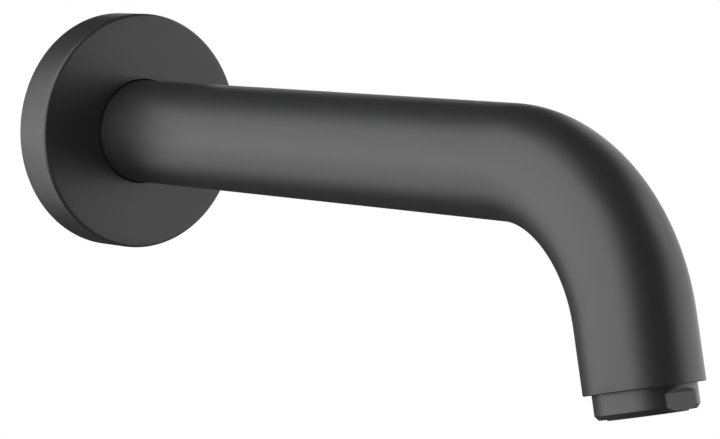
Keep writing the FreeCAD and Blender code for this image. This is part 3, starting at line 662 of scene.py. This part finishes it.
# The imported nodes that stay, and their finishes
CARRIED = {
    "flange_seal": "soft foam",
    "flange_o_ring": "seal rubber",
    "nipple_washer": "fibre washer",
    "nipple_o_ring_front": "seal rubber",
    "nipple_o_ring_rear": "seal rubber",
    "inlet_socket": "turned brass",
    "grub_screw": "stainless steel",
    "outlet_ring": "turned brass",
    "aerator_washer": "seal rubber",
    "cartridge_sleeve": "black plastic",
    "strainer": "white plastic",
    "diffuser_plate": "white plastic",
    "mixing_chamber": "white plastic",
    "upper_flow_screen": "stainless steel",
    "screen_spacer": "white plastic",
    "lower_flow_screen": "stainless steel",
    "outlet_grid": "black plastic",
}


class BATHSPOUT_OT_finishes(bpy.types.Operator):
    """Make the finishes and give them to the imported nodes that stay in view"""

    bl_idname = "bath_spout.finishes"
    bl_label = "Finishes"

    def execute(self, context):
        colours = context.scene.finish_colours
        coating_finish(colours.coating)
        brass_finish(colours.brass)
        steel_finish(colours.steel)
        rubber_finish(colours.rubber)
        foam_finish(colours.foam)
        fibre_finish(colours.fibre)
        plastic_finish("black plastic", colours.black_plastic, 0.6, gloss=0.25)
        plastic_finish("white plastic", colours.white_plastic, 0.4)
        for node, finish in CARRIED.items():
            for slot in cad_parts[node].material_slots:
                slot.material = bpy.data.materials[finish]
        return {"FINISHED"}


# Where the camera stands, from the outline of tube, flange and aerator in the picture
PICTURE_WIDTH = 720
SENSOR = 36.0
CAMERA_TURN = -39.285
CAMERA_RISE = 5.458
CAMERA_TILT = -0.084
CAMERA_DISTANCE = 0.72958
CAMERA_FOCUS_PIXELS = 2860.8
CAMERA_RIGHT = 0.010408
CAMERA_UP = -0.008792
CAMERA_SIGHT = 200.0

# The middle of the spout, about which camera and lamps stand
AIM = (0.0, -0.090, -0.010)
LAMP_DISTANCE = 1.05
# Name, turn and rise about the spout, width, lowest and highest point and radiance of each box
LAMPS = (
    ("left far", -165.0, 0.0, 0.30, -1.10, -0.42, 0.6),
    ("left back", -142.5, 0.0, 0.56, -1.10, 1.68, 2.3),
    ("left middle", -107.5, 0.0, 0.76, -0.42, 1.90, 3.1),
    ("left front", -70.0, 0.0, 0.66, -0.42, 1.68, 3.35),
    ("left end", -45.0, 0.0, 0.28, -0.20, 1.68, 1.4),
    ("left top", -104.0, 68.0, 0.50, -0.20, 0.20, 1.45),
    ("right low", 52.5, 0.0, 0.87, -1.20, -0.42, 0.8),
    ("right front", 52.5, 0.0, 0.87, -0.42, 0.45, 1.9),
    ("right upper", 63.0, 0.0, 0.50, 0.45, 1.00, 2.2),
    ("right back", 100.0, 0.0, 0.98, -0.42, 0.95, 1.1),
    ("behind", 136.0, 0.0, 0.55, 0.00, 0.36, 1.1),
)


def compass(turn, rise):
    """Direction from the spout: turn 0 is -Y, turn 90 is +X."""
    turn, rise = math.radians(turn), math.radians(rise)
    return Vector((math.sin(turn) * math.cos(rise), -math.cos(turn) * math.cos(rise),
                   math.sin(rise)))


def facing(direction):
    """Right and up axes of something that stands in a direction and looks back along it."""
    right = Vector((0.0, 0.0, 1.0)).cross(direction).normalized()
    up = direction.cross(right)
    return right, up


def standing(right, up, back, place):
    """The transform of a camera or lamp with those axes at that place."""
    turn = Matrix((right, up, back)).transposed().to_4x4()
    turn.translation = place
    return turn


class BATHSPOUT_OT_studio(bpy.types.Operator):
    """Set up the floor, the lamps, the room and the camera"""

    bl_idname = "bath_spout.studio"
    bl_label = "Studio"

    def execute(self, context):
        scene = context.scene
        studio = scene.studio_settings
        make_floor(scene, studio)
        make_room(scene, studio)
        for lamp in LAMPS:
            make_lamp(scene, *lamp)
        make_camera(scene)
        scene.view_settings.view_transform = "Standard"
        return {"FINISHED"}


def make_floor(scene, studio):
    """Pale floor that takes the spout's shadow and fades to white with distance."""
    reach, height = studio.floor_reach, studio.floor_height
    mesh = bpy.data.meshes.new("floor")
    corners = [(-reach, -reach, height), (reach, -reach, height), (reach, reach, height),
               (-reach, reach, height)]
    mesh.from_pydata(corners, [], [(0, 1, 2, 3)])
    floor = bpy.data.objects.new("floor", mesh)
    scene.collection.objects.link(floor)
    tree, shader = new_material("pale floor", studio.floor_colour, 0.9)
    shader.inputs["Specular IOR Level"].default_value = 0.1
    place = add(tree, "ShaderNodeTexCoord")
    distance = add(tree, "ShaderNodeVectorMath", operation="LENGTH")
    tree.links.new(place.outputs["Object"], distance.inputs[0])
    away = distance.outputs["Value"]
    whiteness = ranged(tree, away, studio.near_white, 1.0, studio.near, studio.far)
    mirrored = ranged(tree, away, 0.0, 1.0, studio.mirror_near, studio.mirror_far)
    white = add(tree, "ShaderNodeEmission", strength=1.0)
    mix = add(tree, "ShaderNodeMixShader")
    tree.links.new(seen_directly(tree, whiteness, mirrored), mix.inputs["Fac"])
    tree.links.new(shader.outputs["BSDF"], mix.inputs[1])
    tree.links.new(white.outputs[0], mix.inputs[2])
    tree.links.new(mix.outputs[0], tree.nodes["Material Output"].inputs["Surface"])
    mesh.materials.append(bpy.data.materials["pale floor"])
    floor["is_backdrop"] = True


def seen_directly(tree, straight, mirrored):
    """One value for camera and transmission rays, another for glossy rays, none for the rest."""
    path = add(tree, "ShaderNodeLightPath")
    direct = combined(tree, "MAXIMUM", path.outputs["Is Camera Ray"],
                      path.outputs["Is Transmission Ray"])
    seen = combined(tree, "MULTIPLY", direct, straight)
    reflected = combined(tree, "MULTIPLY", path.outputs["Is Glossy Ray"], mirrored)
    return combined(tree, "MAXIMUM", seen, reflected)


def combined(tree, operation, *values):
    """The result of a calculation with sockets or plain numbers."""
    node = add(tree, "ShaderNodeMath", operation=operation)
    for socket, value in zip(node.inputs, values):
        if isinstance(value, float):
            socket.default_value = value
        else:
            tree.links.new(value, socket)
    return node.outputs[0]


def make_room(scene, studio):
    """Dim even light from all round, behind which the camera sees white."""
    world = bpy.data.worlds.new("room")
    world.use_nodes = True
    tree = world.node_tree
    light = tree.nodes["Background"]
    light.inputs["Color"].default_value = (1.0, 1.0, 1.0, 1.0)
    seen = seen_directly(tree, 1.0, studio.room)
    strength = combined(tree, "MAXIMUM", seen, studio.room)
    tree.links.new(strength, light.inputs["Strength"])
    scene.world = world


def make_lamp(scene, name, turn, rise, width, low, high, radiance):
    """Soft box that faces the spout. Its power follows from its size and radiance."""
    data = bpy.data.lights.new(name + " lamp", "AREA")
    data.shape = "RECTANGLE"
    data.size = width
    data.size_y = high - low
    data.energy = radiance * math.pi * data.size * data.size_y
    lamp = bpy.data.objects.new(name + " lamp", data)
    lamp.visible_camera = False
    back = compass(turn, rise)
    right, up = facing(back)
    place = Vector(AIM) + back * LAMP_DISTANCE + up * (low + high) / 2
    lamp.matrix_world = standing(right, up, back, place)
    scene.collection.objects.link(lamp)


def make_camera(scene):
    """Camera at the picture's angle, with its depth of field off as it is by default."""
    data = bpy.data.cameras.new("camera")
    data.sensor_width = SENSOR
    data.lens = CAMERA_FOCUS_PIXELS * SENSOR / PICTURE_WIDTH
    data.clip_end = CAMERA_SIGHT
    camera = bpy.data.objects.new("camera", data)
    back = compass(CAMERA_TURN, CAMERA_RISE)
    right, up = facing(back)
    place = Vector(AIM) + CAMERA_RIGHT * right + CAMERA_UP * up + back * CAMERA_DISTANCE
    tilt = math.radians(CAMERA_TILT)
    tilted_right = right * math.cos(tilt) + up * math.sin(tilt)
    tilted_up = up * math.cos(tilt) - right * math.sin(tilt)
    camera.matrix_world = standing(tilted_right, tilted_up, back, place)
    scene.collection.objects.link(camera)
    scene.camera = camera


STEPS = (BATHSPOUT_OT_finishes, BATHSPOUT_OT_tube, BATHSPOUT_OT_flange, BATHSPOUT_OT_nipple,
         BATHSPOUT_OT_aerator, BATHSPOUT_OT_studio)


class BATHSPOUT_PT_panel(bpy.types.Panel):
    """Lists the steps, the sizes and the colours"""

    bl_idname = "BATHSPOUT_PT_panel"
    bl_label = "Bath Spout"
    bl_space_type = "VIEW_3D"
    bl_region_type = "UI"
    bl_category = "Bath Spout"

    def draw(self, context):
        scene = context.scene
        for step in STEPS:
            self.layout.operator(step.bl_idname)
        for group in (scene.spout_sizes, scene.finish_colours, scene.studio_settings):
            box = self.layout.box()
            for name in group.__annotations__:
                box.prop(group, name)


CLASSES = (SpoutSizes, FinishColours, StudioSettings, *STEPS, BATHSPOUT_PT_panel)


def register():
    """Make the classes and their settings known."""
    for item in CLASSES:
        bpy.utils.register_class(item)
    bpy.types.Scene.spout_sizes = PointerProperty(type=SpoutSizes)
    bpy.types.Scene.finish_colours = PointerProperty(type=FinishColours)
    bpy.types.Scene.studio_settings = PointerProperty(type=StudioSettings)


def unregister():
    """Take the settings and the classes away again."""
    del bpy.types.Scene.studio_settings
    del bpy.types.Scene.finish_colours
    del bpy.types.Scene.spout_sizes
    for item in reversed(CLASSES):
        bpy.utils.unregister_class(item)


def main():
    """Build everything."""
    register()
    bpy.ops.bath_spout.finishes()
    bpy.ops.bath_spout.tube()
    bpy.ops.bath_spout.flange()
    bpy.ops.bath_spout.nipple()
    bpy.ops.bath_spout.aerator()
    bpy.ops.bath_spout.studio()
    boxes = {"cad": CAD_BOX, "visual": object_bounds()}
    boxes = {name: [[float(value) for value in corner] for corner in box]
             for name, box in boxes.items()}


if __name__ == "__main__":
    main()
